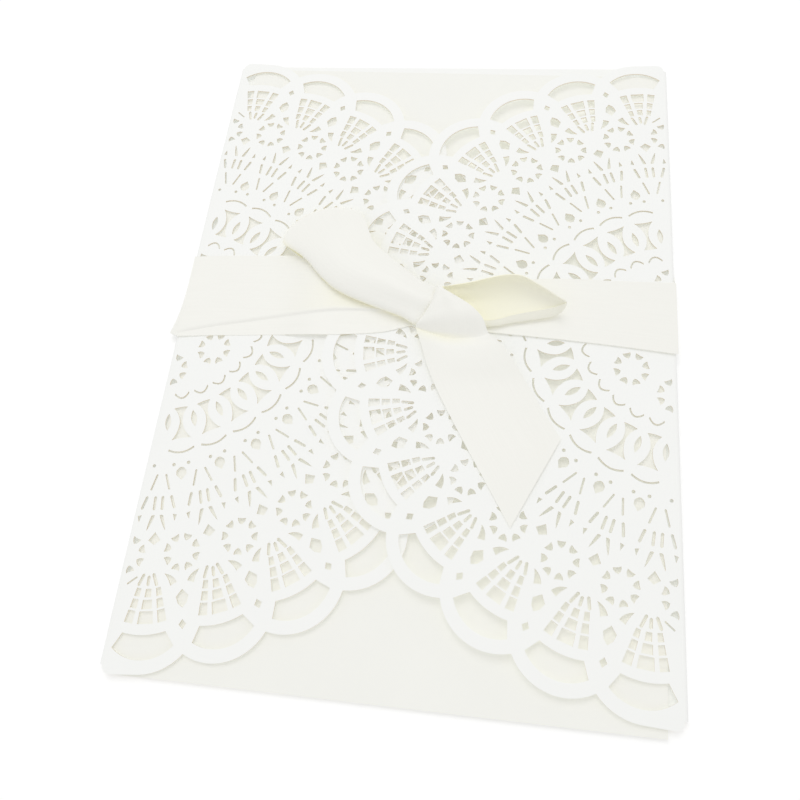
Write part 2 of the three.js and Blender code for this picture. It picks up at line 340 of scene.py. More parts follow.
@dataclass(frozen=True)
class PaleFloor(Finish):
    """A plain pale floor that shows white to the camera and still takes the card's shadow."""

    name: str = "pale_floor"
    colour: float = 0.86
    lift: float = 0.25

    def inputs(self, graph: Graph) -> dict:
        """A grey floor, with a glow that only rays from the camera and from glossy or clear things meet."""
        seen = graph.node("ShaderNodeLightPath", output="Is Camera Ray")
        watched = seen + seen.sibling("Is Glossy Ray") + seen.sibling("Is Transmission Ray")
        return {
            "Base Color": (self.colour, self.colour, self.colour, 1.0),
            "Roughness": 0.9,
            "Specular IOR Level": 0.0,
            "Emission Color": graph.grey(watched * self.lift),
            "Emission Strength": 1.0,
        }


# Lace


def bulged(corners: Sequence[Place]) -> Loop:
    """A closed outline from its corners, with each side bent to an arc.

    Args:
        corners: beside, along, and how far the side to the next corner stands out to its right.

    Returns:
        The outline's points.
    """
    loop: Loop = []
    for (x, y, rise), (next_x, next_y, _) in zip(corners, [*corners[1:], corners[0]]):
        across, up = next_x - x, next_y - y
        chord = math.hypot(across, up)
        steps = max(2, round(chord / ARC_STEP)) if rise else 1
        for i in range(steps):
            share = i / steps
            out = 4 * rise * share * (1 - share) / chord
            loop.append((x + across * share + up * out, y + up * share - across * out))
    return loop


def mirrored(loop: Loop) -> Loop:
    """The outline on the other side of its axis."""
    return [(-x, y) for x, y in loop]


def slit(start: Point, end: Point, width: float) -> Loop:
    """A straight slot with rounded ends."""
    dx, dy = end[0] - start[0], end[1] - start[1]
    length = math.hypot(dx, dy)
    ux, uy = dx / length * width / 2, dy / length * width / 2
    return [
        (start[0] - uy, start[1] + ux),
        (start[0] - ux * 0.8, start[1] - uy * 0.8),
        (start[0] + uy, start[1] - ux),
        (end[0] + uy, end[1] - ux),
        (end[0] + ux * 0.8, end[1] + uy * 0.8),
        (end[0] - uy, end[1] + ux),
    ]


def dot(x: float, y: float, diameter: float) -> Loop:
    """A small round hole."""
    turns = [i * math.pi / (DOT_CORNERS / 2) for i in range(DOT_CORNERS)]
    return [(x + diameter / 2 * math.cos(turn), y + diameter / 2 * math.sin(turn)) for turn in turns]


@dataclass
class Doily:
    """The lace of one flap: half of a round doily, drawn beside and along its radii."""

    radius: float = 90.0
    sectors: int = 14
    scallop_radius: float = 13.4
    scallop_depth: float = 3.6
    rim: float = 3.0
    window_half: float = 7.3
    sill_half: float = 5.1
    sill_reach: float = 80.8
    sill_rise: float = 0.75
    fan_root: float = 61.4
    fan_rows: tuple[Point, ...] = ((15.0, 17.8), (12.4, 14.5), (9.9, 11.8))
    middle_windows: tuple[float, ...] = (6.1, 5.0, 3.9)
    side_windows: tuple[Point, ...] = ((9.9, 16.6), (9.9, 16.4), (10.2, 16.6))
    roundel_ring: float = 63.4
    petals: int = 8
    petal_reach: float = 4.45
    petal_start: float = 2.75
    petal_half: float = 1.0
    petal_bend: float = -0.28
    inner_ring: float = 14.4
    fold_ring_shift: float = 1.1
    fold_gap: float = 0.8
    inner_sector: int = 4

    @property
    def pitch(self) -> float:
        """Angle of a sector."""
        return math.pi / self.sectors

    def scallop(self, radius: float, half: float, steps: int) -> Loop:
        """An arc about the scallop's centre, from one side to the other."""
        centre = self.radius - self.scallop_radius
        end = math.asin(half / radius)
        turns = [end * (1 - 2 * i / steps) for i in range(steps + 1)]
        return [(radius * math.sin(turn), centre + radius * math.cos(turn)) for turn in turns]

    def half_scallop(self) -> float:
        """Half the distance between two cusps."""
        return (self.radius - self.scallop_depth) * math.sin(self.pitch / 2)

    def fan_windows(self) -> list[Loop]:
        """The windows of a fan, in three columns that meet at its root."""
        loops = []
        for (low, high), middle, side in zip(self.fan_rows, self.middle_windows, self.side_windows):
            for start, end in ((-middle, middle), side, (-side[1], -side[0])):
                corners = ((start, low), (end, low), (end, high), (start, high))
                turns = [(math.radians(turn), reach) for turn, reach in corners]
                loops.append([(r * math.sin(turn), self.fan_root + r * math.cos(turn)) for turn, r in turns])
        slits = (
            ((-1.5, 68.0), (-2.55, 70.3)),
            ((-0.22, 68.5), (-0.3, 70.4)),
            ((0.85, 68.0), (1.85, 70.5)),
        )
        return [*loops, *(slit(low, high, 0.75) for low, high in slits)]

    def fan_loops(self) -> list[Loop]:
        """Openings that repeat about the middle of each sector."""
        half, reach = self.sill_half, self.sill_reach
        sill = bulged([(-half, reach, -self.sill_rise), (half, reach, 0)])[:-1]
        arch = self.scallop(self.scallop_radius - self.rim, self.window_half, 12)
        pairs = [
            bulged([(-1.45, 54.0, 0.1), (-0.6, 54.0, 0.15), (-2.35, 57.7, 0.1)]),
            [(-4.9, 54.0), (-3.9, 53.8), (-4.45, 55.5)],
            slit((-0.92, 49.5), (-1.0, 52.5), 0.7),
            slit((-3.05, 49.4), (-4.05, 52.2), 0.7),
            slit((-2.3, 47.6), (-1.1, 43.9), 0.5),
        ]
        return [
            [*arch, *sill, (half, reach)],
            *self.fan_windows(),
            [(0.0, 58.1), (1.5, 60.0), (0.0, 61.1), (-1.5, 60.0)],
            *pairs,
            *(mirrored(loop) for loop in pairs),
            bulged([(0.0, 27.9, 0.75), (0.0, 32.4, 0.75)]),
        ]

    def roundel(self, ring: float, half_side: int = 0) -> list[Loop]:
        """The openings round a roundel's disc.

        Args:
            ring: distance of the roundel from the doily's centre.
            half_side: 0 for a whole roundel, or the side of the fold that is kept, 1 or -1.

        Returns:
            Its petals.
        """
        loops = []
        half, outer, bend = self.petal_half, self.petal_reach - 0.1, self.petal_bend
        corners = bulged([(-half, outer, 0.1), (half, outer, bend), (0.0, self.petal_start, bend)])
        for i in range(self.petals):
            turn = (i + 0.5) / self.petals * 2 * math.pi
            cos, sin = math.cos(turn), math.sin(turn)
            if half_side * sin < 0:
                continue
            loops.append([(x * cos + y * sin, ring + y * cos - x * sin) for x, y in corners])
        return loops

    def axis_loops(self) -> list[Loop]:
        """Openings that repeat on the line between two sectors; the lowest stands a little aside."""
        aside = 0.3
        flank = bulged([(1.25, 70.2, 0), (2.8, 70.9, 0.15), (4.15, 67.9, -0.45)])
        inner = [(-1.75, 26.5, 0.15), (1.75, 26.5, -0.35), (0.32, 30.3, -0.45)]
        outer = [(2.5, 34.95, -0.2), (-2.5, 34.95, -0.45), (-0.32, 30.3, -0.35)]
        return [
            *self.roundel(self.roundel_ring),
            [(0.0, 78.8), (0.9, 79.9), (0.0, 81.0), (-0.9, 79.9)],
            [(0.0, 72.0), (1.5, 73.6), (1.05, 75.2), (0.0, 76.2), (-1.05, 75.2), (-1.5, 73.6)],
            flank,
            mirrored(flank),
            bulged([(-1.25, 43.3, 0.95), (1.25, 43.3, 0), (1.25, 44.3, 0), (0.0, 45.7, 0), (-1.25, 44.3, 0)]),
            dot(1.86, 41.5, 0.9),
            dot(-1.86, 41.5, 0.9),
            self.arc_slit(3.2, 37.3, 38.3, 0.6),
            bulged([*inner, *outer]),
            [(x + aside, y) for x, y in self.arc_slit(1.75, 22.3, 23.7, 0.6)],
        ]

    def arc_slit(self, half: float, ends: float, middle: float, width: float) -> Loop:
        """A curved slot across the axis."""
        rise = middle - ends
        outer, height = half + width * 0.3, ends + width * 0.8
        lower = bulged([(-half, ends, -rise), (half, ends, 0)])
        upper = bulged([(outer, height, rise), (-outer, height, 0)])
        return [*lower, *upper]

    def turned(self, loops: Sequence[Loop], sector: float) -> list[Loop]:
        """Loops drawn on a radius, moved to the radius of a sector, beside the fold and up it."""
        cos, sin = math.cos(sector * self.pitch), math.sin(sector * self.pitch)
        return [[(y * sin + x * cos, x * sin - y * cos) for x, y in loop] for loop in loops]

    def odd_loops(self) -> list[Loop]:
        """Openings that don't repeat: half roundels on the fold, and the roundels near the middle."""
        rings = (self.roundel_ring, self.inner_ring + self.fold_ring_shift)
        halves = [loop for ring in rings for loop in self.roundel(ring, 1)]
        first = [[(x + self.fold_gap, y) for x, y in loop] for loop in halves]
        first += [slit((4.5, 68.4), (2.5, 70.1), 0.4), dot(2.4, 41.5, 0.9)]
        last = [mirrored(loop) for loop in first]
        inner = self.roundel(self.inner_ring)
        return [
            *self.turned(first, 0),
            *self.turned(last, self.sectors),
            *self.turned(inner, self.inner_sector),
            *self.turned(inner, self.sectors - self.inner_sector),
        ]

    def edge(self, steps: int = 14) -> Loop:
        """The scalloped edge, from below the fold to above it, without the two corners."""
        chord = list(reversed(self.scallop(self.scallop_radius, self.half_scallop(), steps)))
        points: Loop = []
        for k in range(self.sectors):
            turned = self.turned([chord], k + 0.5)[0]
            start = steps // 2 if k == 0 else 1
            stop = steps // 2 + 1 if k == self.sectors - 1 else steps + 1
            points.extend(turned[start:stop])
        return points


# Sheets


def outline_object(name: str, loops: Sequence[Loop]) -> bpy.types.Object:
    """An object that holds closed outlines as edges only.

    Args:
        name: the object's name.
        loops: outlines in millimetres.

    Returns:
        The object, not linked to the scene.
    """
    points: list[Place] = []
    edges: list[tuple[int, int]] = []
    for loop in loops:
        start = len(points)
        points.extend((x, y, 0.0) for x, y in loop)
        edges.extend((start + i, start + (i + 1) % len(loop)) for i in range(len(loop)))
    mesh = bpy.data.meshes.new(name)
    mesh.from_pydata(points, edges, [])
    return bpy.data.objects.new(name, mesh)


@dataclass
class LaceCutter:
    """Geometry Nodes that set a sector's openings round both flaps and fill the sheet between them."""

    doily: Doily
    centre: float

    def tree(self, material: bpy.types.Material) -> bpy.types.GeometryNodeTree:
        """Builds the node tree.

        Args:
            material: the finish that the sheet gets.

        Returns:
            The tree, with named inputs for its sizes.
        """
        tree = bpy.data.node_groups.new("lace_sheet", "GeometryNodeTree")
        graph = Graph(tree)
        kinds = {
            "Outline": "Geometry",
            "Fan openings": "Object",
            "Axis openings": "Object",
            "Sectors": "Int",
            "Pitch": "Float",
            "Centre": "Float",
        }
        for name, kind in kinds.items():
            tree.interface.new_socket(name, in_out="INPUT", socket_type=f"NodeSocket{kind}")
        tree.interface.new_socket("Sheet", in_out="OUTPUT", socket_type="NodeSocketGeometry")
        given = tree.nodes.new("NodeGroupInput")
        value = {name: Signal(graph, given.outputs[name]) for name in kinds}
        fans = self.ring(graph, value["Fan openings"], value["Sectors"], value["Pitch"], 0.5)
        axes = self.ring(graph, value["Axis openings"], value["Sectors"] - 1, value["Pitch"], 1.0)
        both = self.join(graph, [fans, axes])
        moved = graph.node(
            "GeometryNodeTransform",
            {},
            {"Geometry": both, "Translation": graph.node("ShaderNodeCombineXYZ", {}, {0: value["Centre"]})},
        )
        other = graph.node("GeometryNodeTransform", {}, {"Geometry": moved, "Scale": (-1.0, 1.0, 1.0)})
        whole = self.join(graph, [value["Outline"], moved, other])
        loops = graph.node("GeometryNodeRealizeInstances", {}, {0: whole})
        curves = graph.node("GeometryNodeMeshToCurve", {}, {0: loops})
        filled = graph.node("GeometryNodeFillCurve", {}, {"Curve": curves})
        realized = graph.node("GeometryNodeRealizeInstances", {}, {0: filled})
        dressed = graph.node("GeometryNodeSetMaterial", {}, {"Geometry": realized, "Material": material})
        result = tree.nodes.new("NodeGroupOutput")
        tree.links.new(dressed.socket, result.inputs["Sheet"])
        return tree

    def ring(self, graph: Graph, source: Signal, count: Signal, pitch: Signal, first: float) -> Signal:
        """Instances of an object's outlines round the doily's centre.

        Args:
            graph: the graph to add to.
            source: the object.
            count: how many.
            pitch: angle between two.
            first: place of the first, in sectors from the lower end of the fold.

        Returns:
            The instances.
        """
        outline = graph.node(
            "GeometryNodeObjectInfo", {"transform_space": "ORIGINAL"}, {"Object": source}, output="Geometry"
        )
        points = graph.node("GeometryNodeMeshLine", {}, {"Count": count, "Offset": (0.0, 0.0, 0.0)})
        turn = (graph.node("GeometryNodeInputIndex") + first) * pitch
        return graph.node(
            "GeometryNodeInstanceOnPoints",
            {},
            {
                "Points": points,
                "Instance": outline,
                "Rotation": graph.node("ShaderNodeCombineXYZ", {}, {2: turn}),
            },
        )

    def join(self, graph: Graph, parts: Sequence[Signal]) -> Signal:
        """Joins geometries."""
        made = graph.node("GeometryNodeJoinGeometry")
        for part in parts:
            graph.tree.links.new(part.socket, made.socket.node.inputs[0])
        return made

    def flat_sheet(self, outline: Sequence[Loop], material: bpy.types.Material) -> bpy.types.Mesh:
        """Fills the sheet between its outline and every opening.

        Args:
            outline: the sheet's edge and the openings that don't repeat.
            material: the finish that the sheet gets.

        Returns:
            The flat sheet as a plain mesh.
        """
        body = outline_object("flat_card", outline)
        fans, axes = (
            outline_object(name, [[(x, -y) for x, y in loop] for loop in loops])
            for name, loops in (
                ("fan_openings", self.doily.fan_loops()),
                ("axis_openings", self.doily.axis_loops()),
            )
        )
        bpy.context.scene.collection.objects.link(body)
        tree = self.tree(material)
        modifier = body.modifiers.new("lace", "NODES")
        modifier.node_group = tree
        settings = {
            "Fan openings": fans,
            "Axis openings": axes,
            "Sectors": self.doily.sectors,
            "Pitch": self.doily.pitch,
            "Centre": self.centre,
        }
        for item in tree.interface.items_tree:
            if item.in_out == "INPUT" and item.name in settings:
                modifier[item.identifier] = settings[item.name]
        evaluated = bpy.context.evaluated_depsgraph_get()
        evaluated.update()
        flat = bpy.data.meshes.new_from_object(body.evaluated_get(evaluated))
        body.modifiers.remove(modifier)
        for spare in (body, fans, axes):
            bpy.data.objects.remove(spare)
        return flat


@dataclass
class GatefoldCard:
    """The folded sheet of card: a back panel and two lace flaps."""

    width: float = 130.0
    height: float = 180.0
    thickness: float = 0.4
    corner: float = 2.0
    corner_steps: int = 6
    insert_thickness: float = 0.4
    clearance: float = 0.3
    lap_clearances: float = 1.2
    ribbon_rise: float = 0.7
    ribbon_middle: float = 8.0
    ribbon_width: float = RIBBON_WIDTH
    left_lean: float = math.radians(0.6)
    bend_steps: int = 9
    cell: float = 7.5
    cells: int = 12
    flap_gap: float = 0.6
    flex: float = 0.32
    doily: Doily = field(default_factory=Doily)

    @property
    def fold_radius(self) -> float:
        """Radius of the folds at the middle of the sheet."""
        return (self.thickness + self.insert_thickness) / 2 + self.clearance

    @property
    def overhang(self) -> float:
        """How far a fold stands past the flat panel."""
        return self.fold_radius + self.thickness / 2

    @property
    def fold_start(self) -> float:
        """Where the folds begin, from the card's middle."""
        return self.width / 2 - self.overhang

    @property
    def right_lean(self) -> float:
        """Slope of the right flap, which lies over the left one."""
        tip = self.height / 2 * math.tan(self.left_lean)
        rise = tip + self.thickness + self.lap_clearances * self.clearance
        return math.atan(rise / (self.width - self.height / 2))

    @property
    def panel_middle(self) -> float:
        """Height of the back panel over the ribbon."""
        return self.ribbon_rise + self.thickness / 2

    def flap_start(self, side: int) -> float:
        """Where a flap begins on the flat blank."""
        return self.fold_start + self.fold_radius * (math.pi - self.lean(side))

    def lean(self, side: int) -> float:
        """Slope of a flap."""
        return self.right_lean if side > 0 else self.left_lean

    def sag(self, y: float) -> float:
        """How far the sheets sink below their height over the ribbon."""
        flat = self.ribbon_width / 2 + self.clearance
        reach = abs(y - self.ribbon_middle) - flat
        span = self.height / 2 - math.copysign(self.ribbon_middle, y - self.ribbon_middle) - flat
        return self.ribbon_rise * min(max(reach / span, 0.0), 1.0) ** 2

    def drop(self, x: float) -> float:
        """How far the right flap bends down from its slope to lie on the left one."""
        x = max(x, self.width / 2 - self.height / 2)
        straight = (self.fold_start - x) * math.tan(self.right_lean)
        below = (self.fold_start + x) * math.tan(self.left_lean) + self.thickness + self.flap_gap
        over = straight - below
        if over <= -self.flex:
            return 0.0
        return over if over >= self.flex else (over + self.flex) ** 2 / (4 * self.flex)

    def front(self, x: float, y: float) -> float:
        """Height of the right flap's front at a place on the card, before it bends."""
        along = self.fold_start - x
        rise = along * math.tan(self.right_lean) + self.thickness / 2 / math.cos(self.right_lean)
        return self.panel_middle + 2 * self.fold_radius + rise - self.sag(y)

    def place(self, s: float, y: float, n: float) -> Vector:
        """A point of the flat blank on the folded card.

        Args:
            s: place across the blank.
            y: place up the blank.
            n: height from the middle of the sheet.

        Returns:
            The point, in millimetres.
        """
        side = -1 if s < 0 else 1
        reach = abs(s)
        sag = self.sag(y)
        if reach <= self.fold_start:
            return Vector((s, y, self.panel_middle + n - sag))
        sweep = math.pi - self.lean(side)
        turned = min((reach - self.fold_start) / self.fold_radius, sweep)
        along = max(reach - self.flap_start(side), 0.0)
        radius = self.fold_radius - n
        x = self.fold_start + radius * math.sin(turned) + along * math.cos(turned)
        z = self.panel_middle + self.fold_radius - radius * math.cos(turned) + along * math.sin(turned)
        bend = self.drop(x) if side > 0 and along > 0 else 0.0
        return Vector((side * x, y, z - sag - bend))

    def blank_outline(self) -> Loop:
        """Edge of the flat blank: both flaps' lace edges and the four fold corners."""
        half = self.height / 2

        def corner(x: float, y: float, start: float) -> Loop:
            steps = self.corner_steps
            turns = [start + i * math.pi / (2 * steps) for i in range(steps + 1)]
            return [(x + self.corner * math.cos(turn), y + self.corner * math.sin(turn)) for turn in turns]

        loop: Loop = []
        for side in (1, -1):
            shift = self.flap_start(side) - self.overhang
            edge = [(shift + x, y) for x, y in self.doily.edge()]
            near, far = self.fold_start - self.corner, self.flap_start(side) + self.corner
            arcs = [
                *corner(near, self.corner - half, 1.5 * math.pi),
                *corner(far, self.corner - half, math.pi),
                *edge,
                *corner(far, half - self.corner, 0.5 * math.pi),
                *corner(near, half - self.corner, 0.0),
            ]
            loop.extend(arcs if side > 0 else [(-x, y) for x, y in reversed(arcs)])
        return loop

    def odd_outlines(self) -> list[Loop]:
        """The openings that don't repeat, on both flaps."""
        loops = []
        for side in (1, -1):
            shift = self.flap_start(side) - self.overhang
            loops.extend([[(side * (shift + x), y) for x, y in loop] for loop in self.doily.odd_loops()])
        return loops

    def cuts(self) -> list[tuple[int, float]]:
        """Lines that divide the flat sheet so that it can bend, as axis number and place."""
        lines = [(1, i * self.cell) for i in range(1 - self.cells, self.cells)]
        for side in (1, -1):
            start = self.flap_start(side)
            lines.extend(
                (0, side * (self.fold_start + (start - self.fold_start) * i / self.bend_steps))
                for i in range(self.bend_steps + 1)
            )
            lines.extend((0, side * (start + i * self.cell)) for i in range(1, self.cells))
        return lines

    def build(self, material: bpy.types.Material) -> bpy.types.Object:
        """Makes the folded card as one closed sheet.

        Args:
            material: its finish.

        Returns:
            The piece.
        """
        cutter = LaceCutter(self.doily, self.flap_start(1) - self.overhang)
        flat = cutter.flat_sheet([self.blank_outline(), *self.odd_outlines()], material)
        sheet = bmesh.new()
        sheet.from_mesh(flat)
        bmesh.ops.remove_doubles(sheet, verts=sheet.verts, dist=WELD)
        for axis, offset in self.cuts():
            point = Vector((offset, 0, 0)) if axis == 0 else Vector((0, offset, 0))
            normal = Vector((1, 0, 0)) if axis == 0 else Vector((0, 1, 0))
            geometry = [*sheet.verts, *sheet.edges, *sheet.faces]
            bmesh.ops.bisect_plane(sheet, geom=geometry, dist=WELD, plane_co=point, plane_no=normal)
        bmesh.ops.triangulate(sheet, faces=sheet.faces)
        piece = self.thicken(sheet, material)
        sheet.free()
        bpy.data.meshes.remove(flat)
        return piece

    def thicken(self, sheet: bmesh.types.BMesh, material: bpy.types.Material) -> bpy.types.Object:
        """Gives the flat sheet its thickness and folds it.

        Args:
            sheet: the flat sheet.
            material: its finish.

        Returns:
            The piece.
        """
        sheet.verts.index_update()
        half = self.thickness / 2
        points: list[Vector] = []
        for level in (half, -half):
            points.extend(self.place(v.co.x, v.co.y, level) * MM for v in sheet.verts)
        count = len(sheet.verts)
        faces: list[tuple[int, ...]] = []
        cut: list[float] = []
        for face in sheet.faces:
            a, b, c = (v.index for v in face.verts)
            if face.normal.z < 0:
                b, c = c, b
            faces.extend(((a, b, c), (a + count, c + count, b + count)))
            cut.extend((0.0, 0.0))
        for edge in sheet.edges:
            if len(edge.link_faces) == 1:
                face = edge.link_faces[0]
                a, b = self.along_face(edge, face)
                faces.append((a, a + count, b + count, b))
                cut.append(1.0)
        mesh = bpy.data.meshes.new("gatefold_card_lace")
        mesh.from_pydata(points, [], faces)
        mesh.attributes.new("cut", "FLOAT", "FACE").data.foreach_set("value", cut)
        mesh.materials.append(material)
        mesh.shade_smooth()
        mesh.set_sharp_from_angle(angle=SHARP_CUT)
        return added("gatefold_card_lace", mesh)

    def along_face(self, edge: bmesh.types.BMEdge, face: bmesh.types.BMFace) -> tuple[int, int]:
        """An edge's ends in the order in which its face, seen from the front, passes them."""
        for loop in face.loops:
            if loop.edge == edge:
                a, b = loop.vert.index, loop.link_loop_next.vert.index
                return (a, b) if face.normal.z > 0 else (b, a)
        return edge.verts[0].index, edge.verts[1].index


# Ribbon


def spline(values: Sequence[Vector], share: float) -> Vector:
    """A point on the smooth curve through the given ones, at a share of the way along them."""
    last = len(values) - 1
    place = min(max(share * last, 0.0), last - 1e-9)
    i = int(place)
    t = place - i
    a, b, c, d = (values[min(max(i + k, 0), last)] for k in (-1, 0, 1, 2))
    square, cube = 2 * a - 5 * b + 4 * c - d, 3 * b - a - 3 * c + d
    return 0.5 * ((2 * b) + (c - a) * t + square * t * t + cube * t * t * t)


def crowned(near: Place, far: Place, crown: float = 0.0) -> Section:
    """A cross-section between two edges, raised in its middle."""
    low, high = Vector(near), Vector(far)
    up = Vector((0, 0, crown * 4 / 3))
    return low, low.lerp(high, 1 / 3) + up, low.lerp(high, 2 / 3) + up, high


def curved(*places: Place) -> Section:
    """A cross-section with its two edges and the two handles between them."""
    a, b, c, d = (Vector(place) for place in places)
    return a, b, c, d


@dataclass
class Strip:
    """A length of ribbon: cross-sections along it, and the small gathers across it."""

    sections: list[Section]
    along: int
    across: int
    gather: Callable[[float, float], float]
    # share of painted yellowish shade at a place across and along the strip
    painted_shade_share: Callable[[float, float], float]
    crease: Callable[[float], float] | None = None
    crease_half: float = 0.004

    def column(self, j: int, along: float) -> float:
        """Place across the ribbon of a column of points, two of which follow the crease if there is one."""
        if not self.crease:
            return j / self.across
        place, gap = self.crease(along), self.crease_half
        below = self.across // 3
        if j <= below:
            return (place - gap) * j / below
        return place + gap + (1 - place - gap) * (j - below - 1) / (self.across - below - 1)

    def point(self, across: float, along: float) -> Vector:
        """A point of the strip's middle surface."""
        a, b, c, d = (spline([section[i] for section in self.sections], along) for i in range(4))
        rest = 1 - across
        return a * rest**3 + b * (3 * across * rest**2) + c * (3 * across**2 * rest) + d * across**3

    def grid(self) -> list[list[Vector]]:
        """The middle surface as rows of points across the ribbon, gathers included."""
        rows = [
            [self.point(self.column(j, i / self.along), i / self.along) for j in range(self.across + 1)]
            for i in range(self.along + 1)
        ]
        return [
            [
                point + self.normal(rows, i, j) * self.gather(self.column(j, i / self.along), i / self.along)
                for j, point in enumerate(row)
            ]
            for i, row in enumerate(rows)
        ]

    def normal(self, rows: list[list[Vector]], i: int, j: int) -> Vector:
        """Normal of the surface at a point of the grid."""
        before, after = rows[max(i - 1, 0)][j], rows[min(i + 1, self.along)][j]
        left, right = rows[i][max(j - 1, 0)], rows[i][min(j + 1, self.across)]
        return (right - left).cross(after - before).normalized()


